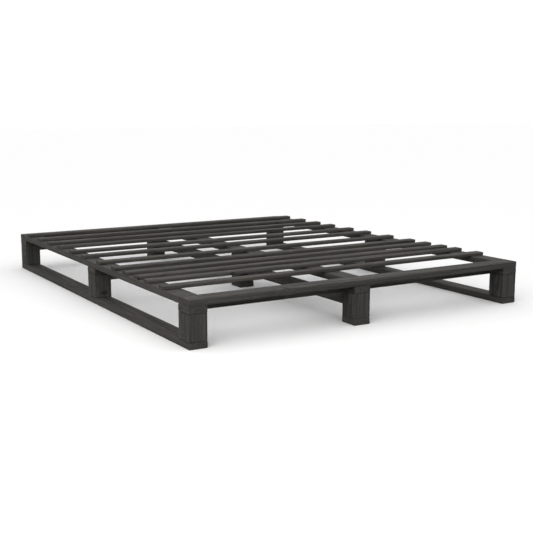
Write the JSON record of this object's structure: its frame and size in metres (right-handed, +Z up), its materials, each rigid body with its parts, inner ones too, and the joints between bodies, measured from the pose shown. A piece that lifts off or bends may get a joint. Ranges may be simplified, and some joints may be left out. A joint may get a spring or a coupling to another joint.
{
  "type": "low slatted bed frame",
  "caption": "Low platform bed frame in black-stained pine, with open side frames on runners, centre legs, half-lapped end boards and cross slats.",
  "frame": {"origin": "on the floor, under the middle of the frame's outline", "axes": "+Z up, +Y from the foot end to the head end, +X to the right as seen from the foot end"},
  "size_m": [1.6, 2, 0.197],
  "materials": {
    "frame_wood": "black-stained planed pine with open grain and knots, matt",
    "slat_wood": "black-stained planed pine slats, matt",
    "steel": "zinc-plated bolts and threaded inserts"
  },
  "bodies": {
    "root": {"runner_left": "frame_wood", "side_rail_left": "frame_wood", "post_left_foot": "frame_wood", "post_left_middle": "frame_wood", "post_left_head": "frame_wood", "runner_right": "frame_wood", "side_rail_right": "frame_wood", "post_right_foot": "frame_wood", "post_right_middle": "frame_wood", "post_right_head": "frame_wood", "foot_board": "frame_wood", "head_board": "frame_wood", "centre_leg_foot": "frame_wood", "centre_leg_middle": "frame_wood", "centre_leg_head": "frame_wood", "centre_rail": "frame_wood", "stretcher_front": "frame_wood", "stretcher_rear": "frame_wood", "cross_beam_foot": "frame_wood", "cross_beam_middle": "frame_wood", "cross_beam_head": "frame_wood", "cap_left_foot": "frame_wood", "cap_left_middle": "frame_wood", "cap_left_head": "frame_wood", "cap_centre_foot": "frame_wood", "cap_centre_middle": "frame_wood", "cap_centre_head": "frame_wood", "cap_right_foot": "frame_wood", "cap_right_middle": "frame_wood", "cap_right_head": "frame_wood", "slat_01": "slat_wood", "slat_02": "slat_wood", "slat_03": "slat_wood", "slat_04": "slat_wood", "slat_05": "slat_wood", "slat_06": "slat_wood", "slat_07": "slat_wood", "slat_08": "slat_wood", "slat_09": "slat_wood", "slat_10": "slat_wood", "slat_11": "slat_wood", "slat_12": "slat_wood", "bolt_left_foot": "steel", "insert_left_foot": "steel", "bolt_left_middle": "steel", "insert_left_middle": "steel", "bolt_left_head": "steel", "insert_left_head": "steel", "bolt_centre_foot": "steel", "insert_centre_foot": "steel", "bolt_centre_middle": "steel", "insert_centre_middle": "steel", "bolt_centre_head": "steel", "insert_centre_head": "steel", "bolt_right_foot": "steel", "insert_right_foot": "steel", "bolt_right_middle": "steel", "insert_right_middle": "steel", "bolt_right_head": "steel", "insert_right_head": "steel"}
  },
  "joints": []
}
